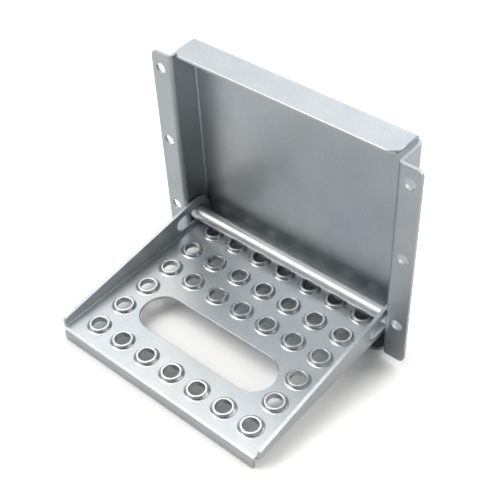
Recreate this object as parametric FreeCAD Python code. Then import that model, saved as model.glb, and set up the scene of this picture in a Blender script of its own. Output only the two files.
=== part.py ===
import FreeCAD
import Part

import math
import os

os.makedirs("parts", exist_ok=True)
V = FreeCAD.Vector

# Sizes in mm. Origin: middle of the bolt pattern on the flange's mounting face. -Y is the front, +Z is up.

# Sheet that the tray and the tread are folded from
sheet = 2.5
bend_inner = 1.5

# Tray: bolt flanges
bolt_span_x = 218.0
bolt_pitch_z = 66.0
bolt_hole_d = 9.0
flange_edge = 8.2
flange_above = 13.5
flange_corner_r = 5.0

# Tray: recess
tray_inner_width = 196.0
tray_height = 181.5
tray_depth = 25.0
flap_gap = 2.0
flap_setback = 0.3
flap_corner_r = 8.0

# Rod with turned-down ends that are riveted into the walls
rod_d = 12.0
rod_rise = 28.0
spigot_d = 9.0
spigot_clear = 0.05
spigot_rise = 1.5

# Tread: plate and its two folds
side_gap = 1.0
rear_gap = 0.5
tread_reach = 153.5
plate_drop = 10.5
lip_height = 10.3
side_setback = 3.5

# Tread: side plates, ears and slots
side_front_height = 7.0
side_front_r = 3.5
ear_r = 14.5
slot_clear = 0.5
slot_travel = 19.0

# Tread: collared grip holes and the hand-hole
grip_pitch_x = 25.0
grip_pitch_y = 26.0
grip_front_inset = 20.0
grip_rear_inset = 17.0
grip_side_inset = 20.0
grip_hole_d = 12.0
collar_d = 15.5
collar_height = 2.5
hand_hole_length = 126.5
hand_hole_width = 36.0
hand_hole_inset = 58.2

# Places that follow from the sizes
bend_outer = bend_inner + sheet
flange_half = bolt_span_x / 2 + flange_edge
flange_top = bolt_pitch_z + flange_above
flange_bottom = flange_top - tray_height
wall_in = tray_inner_width / 2
wall_out = wall_in + sheet
back_in = tray_depth - sheet
flap_half = wall_out - bend_outer
flap_front = -sheet + flap_setback
flap_top = flange_top + flap_gap
flap_bottom = flange_bottom - flap_gap
rod_y = back_in - rear_gap - ear_r
rod_z = flange_bottom + rod_rise
tread_half = wall_in - side_gap
tread_front = rod_y - tread_reach
tread_rear = rod_y + ear_r
plate_top = rod_z - plate_drop
plate_bottom = plate_top - sheet
side_start = tread_front + side_setback
slot_r = rod_d / 2 + slot_clear


def left_of(direction, normal):
    return normal.cross(direction)


def moved_left(points, normal, distance):
    """The open polyline's points, moved to its left by a distance."""
    steps = [(b - a).normalize() for a, b in zip(points, points[1:])]
    moved = [points[0] + left_of(steps[0], normal) * distance]
    for point, before, after in zip(points[1:-1], steps, steps[1:]):
        side = left_of(before, normal) + left_of(after, normal)
        moved.append(point + side * (distance / (1 + before.dot(after))))
    moved.append(points[-1] + left_of(steps[-1], normal) * distance)
    return moved


def rounded_edges(points, radii):
    """Edges along an open polyline whose inner corners are rounded by the radii."""
    edges = []
    start = points[0]
    for corner, before, after, radius in zip(points[1:-1], points, points[2:], radii):
        u = (corner - before).normalize()
        v = (after - corner).normalize()
        half = u.getAngle(v) / 2
        reach = radius * math.tan(half)
        middle = corner + (v - u).normalize() * (radius / math.cos(half) - radius)
        edges.append(Part.makeLine(start, corner - u * reach))
        edges.append(Part.Arc(corner - u * reach, middle, corner + v * reach).toShape())
        start = corner + v * reach
    edges.append(Part.makeLine(start, points[-1]))
    return edges


def folded_sheet(points, normal):
    """Section of a bent sheet: one face follows the points, the sheet lies to their left."""
    other = moved_left(points, normal, sheet)
    near, far = [], []
    for before, corner, after in zip(points, points[1:], points[2:]):
        turns_left = left_of(corner - before, normal).dot(after - corner) > 0
        near.append(bend_outer if turns_left else bend_inner)
        far.append(bend_inner if turns_left else bend_outer)
    edges = rounded_edges(points, near) + rounded_edges(other, far)
    edges.append(Part.makeLine(points[0], other[0]))
    edges.append(Part.makeLine(points[-1], other[-1]))
    return Part.Face(Part.Wire(Part.__sortEdges__(edges)))


def rounded_outline(points, radii):
    """Face of a closed polygon with each corner rounded by its radius (0 leaves it sharp)."""
    edges = []
    count = len(points)
    ends = []
    for i, corner in enumerate(points):
        u = (corner - points[i - 1]).normalize()
        v = (points[(i + 1) % count] - corner).normalize()
        half = u.getAngle(v) / 2
        reach = radii[i] * math.tan(half)
        ends.append((corner - u * reach, corner + v * reach))
        if radii[i] > 0:
            middle = corner + (v - u).normalize() * (radii[i] / math.cos(half) - radii[i])
            edges.append(Part.Arc(ends[i][0], middle, ends[i][1]).toShape())
    for i in range(count):
        edges.append(Part.makeLine(ends[i][1], ends[(i + 1) % count][0]))
    return Part.Face(Part.Wire(Part.__sortEdges__(edges)))


def obround(centre_a, centre_b, radius, normal):
    """Face with two round ends about two centres."""
    side = left_of((centre_b - centre_a).normalize(), normal) * radius
    along = (centre_b - centre_a).normalize() * radius
    edges = [
        Part.makeLine(centre_a + side, centre_b + side),
        Part.Arc(centre_b + side, centre_b + along, centre_b - side).toShape(),
        Part.makeLine(centre_b - side, centre_a - side),
        Part.Arc(centre_a - side, centre_a - along, centre_a + side).toShape(),
    ]
    return Part.Face(Part.Wire(edges))


def make_tray():
    # Flange, wall, back, wall, flange: one hat-shaped fold line
    hat_line = [
        V(-flange_half, -sheet, flange_bottom),
        V(-wall_in, -sheet, flange_bottom),
        V(-wall_in, back_in, flange_bottom),
        V(wall_in, back_in, flange_bottom),
        V(wall_in, -sheet, flange_bottom),
        V(flange_half, -sheet, flange_bottom),
    ]
    height = flange_top - flange_bottom
    hat = folded_sheet(hat_line, V(0, 0, 1)).extrude(V(0, 0, height))
    front_view = rounded_outline(
        [
            V(-flange_half, -2 * sheet, flange_bottom),
            V(flange_half, -2 * sheet, flange_bottom),
            V(flange_half, -2 * sheet, flange_top),
            V(-flange_half, -2 * sheet, flange_top),
        ],
        [flange_corner_r] * 4,
    )
    hat = hat.common(front_view.extrude(V(0, tray_depth + 4 * sheet, 0)))

    # Top flap, back, bottom flap
    flap_line = [
        V(-flap_half, flap_front, flap_top),
        V(-flap_half, back_in, flap_top),
        V(-flap_half, back_in, flap_bottom),
        V(-flap_half, flap_front, flap_bottom),
    ]
    flaps = folded_sheet(flap_line, V(1, 0, 0)).extrude(V(2 * flap_half, 0, 0))
    low = flap_bottom - 2 * sheet
    plan = rounded_outline(
        [
            V(-flap_half, flap_front, low),
            V(flap_half, flap_front, low),
            V(flap_half, tray_depth + sheet, low),
            V(-flap_half, tray_depth + sheet, low),
        ],
        [flap_corner_r, flap_corner_r, 0, 0],
    )
    flaps = flaps.common(plan.extrude(V(0, 0, flap_top - flap_bottom + 4 * sheet)))

    holes = []
    for x in (-bolt_span_x / 2, bolt_span_x / 2):
        for z in (-bolt_pitch_z, 0, bolt_pitch_z):
            holes.append(Part.makeCylinder(bolt_hole_d / 2, 3 * sheet, V(x, -2 * sheet, z), V(0, 1, 0)))
    holes.append(
        Part.makeCylinder(
            spigot_d / 2 + spigot_clear, 2 * wall_out + 2 * sheet, V(-wall_out - sheet, rod_y, rod_z), V(1, 0, 0)
        )
    )
    return hat.fuse(flaps).removeSplitter().cut(Part.makeCompound(holes)).removeSplitter()


def make_rod():
    end = wall_out + spigot_rise
    right_end = [(wall_in, rod_d / 2), (wall_in, spigot_d / 2), (end, spigot_d / 2), (end, 0)]
    left_end = [(-x, r) for x, r in reversed(right_end)]
    outline = [V(x, r, 0) for x, r in left_end + right_end]
    half = Part.Face(Part.makePolygon(outline + outline[:1]))
    half.translate(V(0, rod_y, rod_z))
    return half.revolve(V(0, rod_y, rod_z), V(1, 0, 0), 360)


def side_outline():
    """Side view of the plates: low at the front, rising in a straight line to an ear round the rod."""
    front = V(0, side_start, plate_top + side_front_height)
    rod = V(0, rod_y, rod_z)
    reach = rod - front
    slope = math.atan2(reach.z, reach.y) + math.asin(ear_r / reach.Length)
    on_ear = rod + V(0, -math.sin(slope), math.cos(slope)) * ear_r
    back = V(0, rod_y + ear_r, rod_z)
    crest = rod + ((on_ear - rod).normalize() + V(0, 1, 0)).normalize() * ear_r
    low = plate_bottom - sheet
    edges = rounded_edges([V(0, side_start, low), front, on_ear], [side_front_r]) + [
        Part.Arc(on_ear, crest, back).toShape(),
        Part.makeLine(back, V(0, back.y, low)),
        Part.makeLine(V(0, back.y, low), V(0, side_start, low)),
    ]
    return Part.Face(Part.Wire(Part.__sortEdges__(edges)))


def grip_places():
    """Centres of the grip holes: full rows, but only the end columns beside the hand-hole."""
    clear = (hand_hole_width + collar_d) / 2
    hand_y = tread_front + hand_hole_inset
    first_y = tread_front + grip_front_inset
    last_row = int((tread_rear - grip_rear_inset - first_y) / grip_pitch_y)
    last_column = int((tread_half - grip_side_inset) / grip_pitch_x)
    places = []
    for row in range(last_row + 1):
        y = first_y + row * grip_pitch_y
        beside_hand_hole = abs(y - hand_y) < clear
        for column in range(-last_column, last_column + 1):
            if abs(column) == last_column or not beside_hand_hole:
                places.append(V(column * grip_pitch_x, y, plate_top))
    return places


def make_tread():
    # Side plate, tread plate, side plate
    side_in = tread_half - sheet
    tall = plate_top + plate_drop + ear_r + sheet
    u_line = [
        V(-side_in, side_start, tall),
        V(-side_in, side_start, plate_top),
        V(side_in, side_start, plate_top),
        V(side_in, side_start, tall),
    ]
    body = folded_sheet(u_line, V(0, 1, 0)).extrude(V(0, tread_rear - side_start, 0))
    outline = side_outline()
    outline.translate(V(-2 * tread_half, 0, 0))
    body = body.common(outline.extrude(V(4 * tread_half, 0, 0)))

    # Front lip, which ends where the side bends begin
    lip_half = side_in - bend_inner
    lip_line = [
        V(-lip_half, tread_front + 3 * bend_outer, plate_top),
        V(-lip_half, tread_front, plate_top),
        V(-lip_half, tread_front, plate_top - lip_height),
    ]
    lip = folded_sheet(lip_line, V(1, 0, 0)).extrude(V(2 * lip_half, 0, 0))
    tread = body.fuse(lip).removeSplitter()

    # Hand-hole
    span = (hand_hole_length - hand_hole_width) / 2
    hand_y = tread_front + hand_hole_inset
    low = plate_bottom - sheet
    hand = obround(V(-span, hand_y, low), V(span, hand_y, low), hand_hole_width / 2, V(0, 0, 1))

    # Slots that the rod runs in
    x = -2 * tread_half
    slot = obround(V(x, rod_y - slot_travel, rod_z), V(x, rod_y, rod_z), slot_r, V(1, 0, 0))

    # Collars drawn up round the grip holes
    collars = []
    cuts = [hand.extrude(V(0, 0, 4 * sheet)), slot.extrude(V(4 * tread_half, 0, 0))]
    for place in grip_places():
        foot = place - V(0, 0, sheet)
        collars.append(Part.makeCylinder(collar_d / 2, sheet + collar_height, foot))
        cuts.append(Part.makeCylinder(grip_hole_d / 2, sheet + collar_height, foot))
    return tread.fuse(collars).removeSplitter().cut(Part.makeCompound(cuts)).removeSplitter()


for name, shape in (("tray", make_tray()), ("rod", make_rod()), ("tread", make_tread())):
    solid = shape.Solids[0] if len(shape.Solids) == 1 else shape
    print(name, len(shape.Solids), shape.isValid(), round(shape.Volume / 1000, 2), "cm3", shape.BoundBox)
    solid.exportStep("parts/" + name + ".step")
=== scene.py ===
import math

import bmesh
import bpy
from mathutils import Matrix, Vector


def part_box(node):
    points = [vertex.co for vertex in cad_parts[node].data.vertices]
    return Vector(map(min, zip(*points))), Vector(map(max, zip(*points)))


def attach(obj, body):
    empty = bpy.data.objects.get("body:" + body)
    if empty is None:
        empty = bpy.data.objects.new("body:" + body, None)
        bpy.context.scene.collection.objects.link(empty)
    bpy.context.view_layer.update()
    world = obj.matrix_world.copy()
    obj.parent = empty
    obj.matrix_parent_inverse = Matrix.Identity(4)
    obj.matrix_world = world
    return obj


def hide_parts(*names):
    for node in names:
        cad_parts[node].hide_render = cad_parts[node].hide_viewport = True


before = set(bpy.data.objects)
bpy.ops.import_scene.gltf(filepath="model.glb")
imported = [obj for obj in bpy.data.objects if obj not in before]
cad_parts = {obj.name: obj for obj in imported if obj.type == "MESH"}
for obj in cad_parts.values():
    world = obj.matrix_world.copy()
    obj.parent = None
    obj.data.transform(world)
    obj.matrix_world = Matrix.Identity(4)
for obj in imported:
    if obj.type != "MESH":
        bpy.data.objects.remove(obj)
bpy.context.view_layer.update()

MM = 0.001

# Camera: place and aim in the object's frame, lens and sensor, all in millimetres; reach in metres
CAMERA_PLACE = Vector((347.1, -415.1, 460.9))
CAMERA_AIM = Vector((-38.4, 6.9, -84.5))
CAMERA_ROLL = math.radians(-3.09)
CAMERA_LENS = 70.0
CAMERA_SENSOR = 36.0
CAMERA_REACH = 20.0

# Broken edges of the cut sheet and of the rod's ends, in millimetres: the chamfer, the length that
# its neighbours need to leave room for it, and the gap within which points are joined
EDGE_EASE = 0.35
EDGE_ROOM = 0.8
WELD = 0.05
SHARP_ANGLE = math.radians(30.0)
FLAT_ANGLE = math.radians(0.3)
EDGE_PROFILE = 0.5
# index of the chamfers' material: a paler zinc that paints a highlight line along the cut edges
EDGE_HIGHLIGHT_MATERIAL = 1
BROAD_FACE_WEIGHT = 100

# Drawn collars round the grip holes, in millimetres: radii, and heights above the plate
COLLAR_HEIGHT = 2.5
COLLAR_BASE_R = 10.0
COLLAR_WALL_R = 7.95
COLLAR_BORE_R = 5.85
COLLAR_RIM = 2.62
COLLAR_RIM_ROUND = 0.5
COLLAR_ROOT = -0.15
COLLAR_FOOT = -2.3
COLLAR_INSIDE_R = 6.6
COLLAR_TURNS = 40
ROUND_STEPS = 5

# Patterns of the plating: scale per metre and detail of each, and the span of a noise's values
CLOUD_NOISE = (28.0, 4.0)
FILM_NOISE = (13.0, 2.0)
GLOSS_NOISE = (160.0, 5.0)
GRAIN_NOISE = (900.0, 2.0)
NOISE_ROUGHNESS = 0.55
NOISE_LOW = 0.3
NOISE_HIGH = 0.7

# Where the cloud's two tints stand in its noise, and the film's tints with their places
CLOUD_DARK_AT = 0.36
CLOUD_PALE_AT = 0.62
FILM_COOL = (0.98, 0.998, 1.012)
FILM_PLAIN = (1.0, 1.0, 1.0)
FILM_WARM = (1.016, 1.006, 0.975)
FILM_STOPS = ((0.36, FILM_COOL), (0.5, FILM_PLAIN), (0.64, FILM_WARM))

# Fine grain: its tone, its depth in metres, and its stretch along a drawn bar
GRAIN_TONE = 0.05
GRAIN_DEPTH = 0.0001
DRAWN = (0.02, 1.0, 1.0)

# Floor: its size in metres, how far the bottom flap's edge stands behind the flanges' front in
# millimetres, its own colour, the colour added where it is seen, and the share of that in
# reflections
FLOOR_SIZE = 6.0
FLAP_SETBACK = 0.3
FLOOR_COLOUR = (0.50, 0.494, 0.485)
FLOOR_SEEN_COLOUR = (1.0, 0.99, 0.975)
FLOOR_REFLECTED_SHARE = 0.45

# Soft lights of the studio: degrees clockwise from the back, degrees above the horizon, strength
SOFT_LIGHTS = (
    # overhead, from the left
    (240, 65, 2.1),
    (300, 65, 2.5),
    # half high: behind, behind on the right, in front on the left, behind on the left
    (0, 42, 0.9),
    (36, 42, 0.5),
    (216, 42, 2.7),
    (324, 42, 0.6),
    # low strip along the back
    (0, 20, 2.2),
    (30, 20, 3.2),
    (60, 20, 0.6),
    (300, 20, 0.8),
    (330, 20, 1.3),
    (324, 2, 0.5),
    # fill from the right
    (78, 32, 1.0),
)
SOFT_LIGHT_SHARPNESS = 20.0

# White backdrop above the floor: its share in reflections, so that metal keeps the lights' pattern
BACKDROP_REFLECTED_SHARE = 0.06


def new_material(name):
    """Material with one empty surface shader, its node tree and that shader."""
    material = bpy.data.materials.new(name)
    material.use_nodes = True
    tree = material.node_tree
    tree.nodes.clear()
    output = tree.nodes.new("ShaderNodeOutputMaterial")
    shader = tree.nodes.new("ShaderNodeBsdfPrincipled")
    tree.links.new(shader.outputs["BSDF"], output.inputs["Surface"])
    return material, tree, shader


def noise(tree, scale, detail, stretch=None):
    """Noise over the object's own coordinates, in metres."""
    source = tree.nodes.new("ShaderNodeTexCoord").outputs["Object"]
    if stretch:
        mapping = tree.nodes.new("ShaderNodeMapping")
        mapping.inputs["Scale"].default_value = stretch
        tree.links.new(source, mapping.inputs["Vector"])
        source = mapping.outputs["Vector"]
    texture = tree.nodes.new("ShaderNodeTexNoise")
    texture.inputs["Scale"].default_value = scale
    texture.inputs["Detail"].default_value = detail
    texture.inputs["Roughness"].default_value = NOISE_ROUGHNESS
    tree.links.new(source, texture.inputs["Vector"])
    return texture.outputs["Fac"]


def ramp(tree, source, stops):
    """Colours between stops, each a place and a colour. A new ramp has two stops already."""
    node = tree.nodes.new("ShaderNodeValToRGB")
    elements = node.color_ramp.elements
    for place, _ in stops[2:]:
        elements.new(place)
    for element, (place, colour) in zip(elements, stops):
        element.position = place
        element.color = (*colour, 1.0)
    tree.links.new(source, node.inputs["Fac"])
    return node.outputs["Color"]


def spread(tree, source, low, high):
    """A noise's usual span of values, spread from low to high."""
    node = tree.nodes.new("ShaderNodeMapRange")
    node.inputs["From Min"].default_value = NOISE_LOW
    node.inputs["From Max"].default_value = NOISE_HIGH
    node.inputs["To Min"].default_value = low
    node.inputs["To Max"].default_value = high
    tree.links.new(source, node.inputs["Value"])
    return node.outputs["Result"]


def multiply(tree, first, second):
    node = tree.nodes.new("ShaderNodeVectorMath")
    node.operation = "MULTIPLY"
    tree.links.new(first, node.inputs[0])
    tree.links.new(second, node.inputs[1])
    return node.outputs["Vector"]


def math_node(tree, operation, first, second):
    """Result of a sum on two values, each a socket or a plain number."""
    node = tree.nodes.new("ShaderNodeMath")
    node.operation = operation
    for value, socket in zip((first, second), node.inputs):
        if isinstance(value, float):
            socket.default_value = value
        else:
            tree.links.new(value, socket)
    return node.outputs["Value"]


def zinc(name, dark, pale, roughness, bump, metal, grain_stretch=None):
    """Passivated zinc: cloudy tint under a cool to warm film, uneven satin gloss, fine grain."""
    material, tree, shader = new_material(name)
    tint = ramp(tree, noise(tree, *CLOUD_NOISE), ((CLOUD_DARK_AT, dark), (CLOUD_PALE_AT, pale)))
    film = ramp(tree, noise(tree, *FILM_NOISE), FILM_STOPS)
    grain = noise(tree, *GRAIN_NOISE, grain_stretch)
    sand = spread(tree, grain, 1.0 - GRAIN_TONE, 1.0 + GRAIN_TONE)
    colour = multiply(tree, multiply(tree, tint, film), sand)
    gloss = spread(tree, noise(tree, *GLOSS_NOISE), *roughness)
    raised = tree.nodes.new("ShaderNodeBump")
    raised.inputs["Strength"].default_value = bump
    raised.inputs["Distance"].default_value = GRAIN_DEPTH
    tree.links.new(grain, raised.inputs["Height"])
    shader.inputs["Metallic"].default_value = metal
    tree.links.new(colour, shader.inputs["Base Color"])
    tree.links.new(gloss, shader.inputs["Roughness"])
    tree.links.new(raised.outputs["Normal"], shader.inputs["Normal"])
    return material


def add_piece(name, mesh, body, slot, *materials):
    piece = bpy.data.objects.new(name, mesh)
    bpy.context.scene.collection.objects.link(piece)
    for material in materials:
        mesh.materials.append(material)
    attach(piece, body)
    return piece


def welded(mesh):
    """Editable copy of a mesh, with its doubled points joined and hairline steps closed."""
    shape = bmesh.new()
    shape.from_mesh(mesh)
    bmesh.ops.remove_doubles(shape, verts=shape.verts, dist=WELD * MM)
    return shape


def takes_chamfer(edge):
    """Whether an edge is sharp, and every edge that meets it is long enough for the chamfer."""
    if len(edge.link_faces) != 2 or edge.calc_face_angle() <= SHARP_ANGLE:
        return False
    beside = [near for corner in edge.verts for near in corner.link_edges]
    return all(near.calc_length() > EDGE_ROOM * MM for near in beside)


def eased_copy(node):
    """Mesh of a CAD node with its cut edges broken by a small flat chamfer."""
    shape = welded(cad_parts[node].data)
    bmesh.ops.dissolve_limit(
        shape, angle_limit=FLAT_ANGLE, verts=shape.verts, edges=shape.edges
    )
    bmesh.ops.bevel(
        shape,
        geom=[edge for edge in shape.edges if takes_chamfer(edge)],
        offset=EDGE_EASE * MM,
        offset_type="OFFSET",
        segments=1,
        profile=EDGE_PROFILE,
        affect="EDGES",
        clamp_overlap=False,
        material=EDGE_HIGHLIGHT_MATERIAL,
    )
    mesh = bpy.data.meshes.new(node + "_finish")
    shape.to_mesh(mesh)
    shape.free()
    mesh.shade_smooth()
    mesh.set_sharp_from_angle(angle=SHARP_ANGLE)
    return mesh


def make_finish(node, body, material, edge_highlight_material):
    """Piece that stands for a CAD node, with flat faces shaded flat up to their bends, and its
    chamfers in a paler zinc that paints a highlight along the cut edges.
    """
    slot = "zinc_" + node
    piece = add_piece(node + "_finish", eased_copy(node), body, slot, material, edge_highlight_material)
    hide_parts(node)
    weight = piece.modifiers.new("flat_faces", "WEIGHTED_NORMAL")
    weight.weight = BROAD_FACE_WEIGHT
    weight.keep_sharp = True


def arc(centre_r, centre_z, radius, start, end):
    """Points of an arc in the collar's section, by angle in degrees."""
    points = []
    for i in range(ROUND_STEPS + 1):
        angle = math.radians(start + (end - start) * i / ROUND_STEPS)
        points.append((centre_r + radius * math.cos(angle), centre_z + radius * math.sin(angle)))
    return points


def collar_section():
    """Closed section of a drawn collar: flared base, wall, rounded rim, bore."""
    flare = COLLAR_BASE_R - COLLAR_WALL_R
    top = COLLAR_RIM - COLLAR_RIM_ROUND
    section = [(COLLAR_BASE_R, COLLAR_ROOT)]
    section += arc(COLLAR_BASE_R, flare, flare, 270, 180)
    section += arc(COLLAR_WALL_R - COLLAR_RIM_ROUND, top, COLLAR_RIM_ROUND, 0, 90)
    section += arc(COLLAR_BORE_R + COLLAR_RIM_ROUND, top, COLLAR_RIM_ROUND, 90, 180)
    section += [(COLLAR_BORE_R, COLLAR_FOOT), (COLLAR_INSIDE_R, COLLAR_FOOT)]
    section += [(COLLAR_INSIDE_R, COLLAR_ROOT)]
    return section


def grip_places():
    """Centres of the grip holes on the plate's top, read from the rims of the CAD collars."""
    shape = welded(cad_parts["tread"].data)
    heights = [round(v.co.z / MM, 2) for v in shape.verts]
    rim = max(set(heights), key=heights.count)
    rim_faces = [f for f in shape.faces if all(round(v.co.z / MM, 2) == rim for v in f.verts)]
    waiting = set(rim_faces)
    places = []
    for first in rim_faces:
        if first not in waiting:
            continue
        waiting.remove(first)
        stack = [first]
        corners = set()
        while stack:
            face = stack.pop()
            corners.update(face.verts)
            beside = {f for edge in face.edges for f in edge.link_faces} & waiting
            waiting -= beside
            stack.extend(beside)
        # an exact sum, because the corners come in another order in each run
        middle = [math.fsum(v.co[i] for v in corners) / len(corners) for i in range(3)]
        places.append(Vector(middle) - Vector((0, 0, COLLAR_HEIGHT * MM)))
    shape.free()
    return places


def make_collars(material):
    """Drawn collars round all grip holes, as one piece on the tread."""
    section = collar_section()
    shape = bmesh.new()
    for place in grip_places():
        rings = []
        for turn in range(COLLAR_TURNS):
            angle = 2 * math.pi * turn / COLLAR_TURNS
            out = Vector((math.cos(angle), math.sin(angle), 0.0))
            points = [place + (out * r + Vector((0, 0, z))) * MM for r, z in section]
            rings.append([shape.verts.new(point) for point in points])
        for ring, after in zip(rings, rings[1:] + rings[:1]):
            for i in range(len(section)):
                j = (i + 1) % len(section)
                shape.faces.new((ring[i], after[i], after[j], ring[j]))
    bmesh.ops.recalc_face_normals(shape, faces=shape.faces)
    mesh = bpy.data.meshes.new("grip_collars")
    shape.to_mesh(mesh)
    shape.free()
    mesh.shade_smooth()
    mesh.set_sharp_from_angle(angle=SHARP_ANGLE)
    add_piece("grip_collars", mesh, "tread", "zinc_tread", material)


def seen_rays(tree, reflected_share):
    """How much of a seen brightness a ray gets: all from the camera, a share in reflections."""
    path = tree.nodes.new("ShaderNodeLightPath").outputs
    mirrored = math_node(tree, "MAXIMUM", path["Is Glossy Ray"], path["Is Transmission Ray"])
    share = math_node(tree, "MULTIPLY", mirrored, reflected_share)
    return math_node(tree, "ADD", share, path["Is Camera Ray"])


def floor_material():
    """White floor that is seen brighter than it lights, and keeps the shadow."""
    material = bpy.data.materials.new("floor_white")
    material.use_nodes = True
    tree = material.node_tree
    tree.nodes.clear()
    plain = tree.nodes.new("ShaderNodeBsdfDiffuse")
    plain.inputs["Color"].default_value = (*FLOOR_COLOUR, 1.0)
    scaled = tree.nodes.new("ShaderNodeVectorMath")
    scaled.operation = "SCALE"
    scaled.inputs[0].default_value = FLOOR_SEEN_COLOUR
    tree.links.new(seen_rays(tree, FLOOR_REFLECTED_SHARE), scaled.inputs["Scale"])
    seen = tree.nodes.new("ShaderNodeBsdfDiffuse")
    tree.links.new(scaled.outputs["Vector"], seen.inputs["Color"])
    both = tree.nodes.new("ShaderNodeAddShader")
    tree.links.new(plain.outputs["BSDF"], both.inputs[0])
    tree.links.new(seen.outputs["BSDF"], both.inputs[1])
    output = tree.nodes.new("ShaderNodeOutputMaterial")
    tree.links.new(both.outputs["Shader"], output.inputs["Surface"])
    return material


def make_floor():
    """Floor under the bottom flap's front edge and the lip, so it slopes in the object's frame."""
    tray_low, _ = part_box("tray")
    tread_low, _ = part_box("tread")
    heel = Vector((0.0, tray_low[1] + FLAP_SETBACK * MM, tray_low[2]))
    toe = Vector((0.0, tread_low[1], tread_low[2]))
    slope = math.atan2(toe.z - heel.z, toe.y - heel.y)
    bpy.ops.mesh.primitive_plane_add(size=FLOOR_SIZE, location=heel)
    floor = bpy.context.object
    floor.name = "floor"
    floor.rotation_euler = (slope - math.pi, 0.0, 0.0)
    floor.data.materials.append(floor_material())


def soft_light(tree, place, azimuth, elevation, strength):
    """One broad lobe of light from a direction."""
    a = math.radians(azimuth)
    e = math.radians(elevation)
    dot = tree.nodes.new("ShaderNodeVectorMath")
    dot.operation = "DOT_PRODUCT"
    dot.inputs[1].default_value = (
        math.cos(e) * math.sin(a),
        math.cos(e) * math.cos(a),
        math.sin(e),
    )
    tree.links.new(place, dot.inputs[0])
    facing = math_node(tree, "MAXIMUM", dot.outputs["Value"], 0.0)
    lobe = math_node(tree, "POWER", facing, SOFT_LIGHT_SHARPNESS)
    return math_node(tree, "MULTIPLY", lobe, strength)


def make_world():
    """Soft studio light, mostly from the left, above and behind, before a white backdrop."""
    world = bpy.data.worlds.new("studio")
    bpy.context.scene.world = world
    world.use_nodes = True
    tree = world.node_tree
    tree.nodes.clear()
    place = tree.nodes.new("ShaderNodeTexCoord").outputs["Generated"]
    total = seen_rays(tree, BACKDROP_REFLECTED_SHARE)
    for azimuth, elevation, strength in SOFT_LIGHTS:
        light = soft_light(tree, place, azimuth, elevation, strength)
        total = math_node(tree, "ADD", light, total)
    background = tree.nodes.new("ShaderNodeBackground")
    background.inputs["Color"].default_value = (1.0, 1.0, 1.0, 1.0)
    output = tree.nodes.new("ShaderNodeOutputWorld")
    tree.links.new(total, background.inputs["Strength"])
    tree.links.new(background.outputs["Background"], output.inputs["Surface"])


def make_camera():
    camera = bpy.data.cameras.new("camera")
    camera.sensor_fit = "HORIZONTAL"
    camera.sensor_width = CAMERA_SENSOR
    camera.lens = CAMERA_LENS
    camera.clip_end = CAMERA_REACH
    place = Matrix.Translation(CAMERA_PLACE * MM)
    aim = (CAMERA_AIM - CAMERA_PLACE).to_track_quat("-Z", "Y").to_matrix().to_4x4()
    item = bpy.data.objects.new("camera", camera)
    item.matrix_world = place @ aim @ Matrix.Rotation(CAMERA_ROLL, 4, "Z")
    bpy.context.scene.collection.objects.link(item)
    bpy.context.scene.camera = item


bpy.context.scene.view_settings.view_transform = "Standard"
# painted shade: the tray's zinc is darker than the tread's, for the shade on its back panel and
# walls
tray_zinc_painted_shade = zinc(
    "zinc_tray",
    dark=(0.47, 0.505, 0.532),
    pale=(0.505, 0.54, 0.565),
    roughness=(0.36, 0.44),
    bump=0.1,
    metal=1.0,
)
# painted light: the tread's zinc is paler than the tray's, for the light on its top
tread_zinc_painted_light = zinc(
    "zinc_tread",
    dark=(0.62, 0.655, 0.68),
    pale=(0.68, 0.71, 0.725),
    roughness=(0.34, 0.42),
    bump=0.1,
    metal=0.72,
)
# painted highlight: the collars take a paler copy of the tread's zinc, for the bright rims
collar_zinc_painted_highlight = zinc(
    "zinc_collar",
    dark=(0.70, 0.725, 0.745),
    pale=(0.74, 0.765, 0.78),
    roughness=(0.24, 0.30),
    bump=0.0,
    metal=0.9,
)
# painted highlight: the chamfers take a paler zinc, for a bright line along the cut edges
edge_zinc_painted_highlight = zinc(
    "zinc_edge",
    dark=(0.68, 0.70, 0.715),
    pale=(0.72, 0.74, 0.75),
    roughness=(0.26, 0.32),
    bump=0.0,
    metal=1.0,
)
# painted highlight: the rod's zinc is paler than the tray's, for the bright band along it
rod_zinc_painted_highlight = zinc(
    "zinc_rod",
    dark=(0.72, 0.745, 0.76),
    pale=(0.76, 0.78, 0.795),
    roughness=(0.33, 0.39),
    bump=0.12,
    metal=0.8,
    grain_stretch=DRAWN,
)
make_finish("tray", "tray", tray_zinc_painted_shade, edge_zinc_painted_highlight)
make_finish("rod", "tray", rod_zinc_painted_highlight, edge_zinc_painted_highlight)
make_finish("tread", "tread", tread_zinc_painted_light, edge_zinc_painted_highlight)
make_collars(collar_zinc_painted_highlight)
make_floor()
make_world()
make_camera()
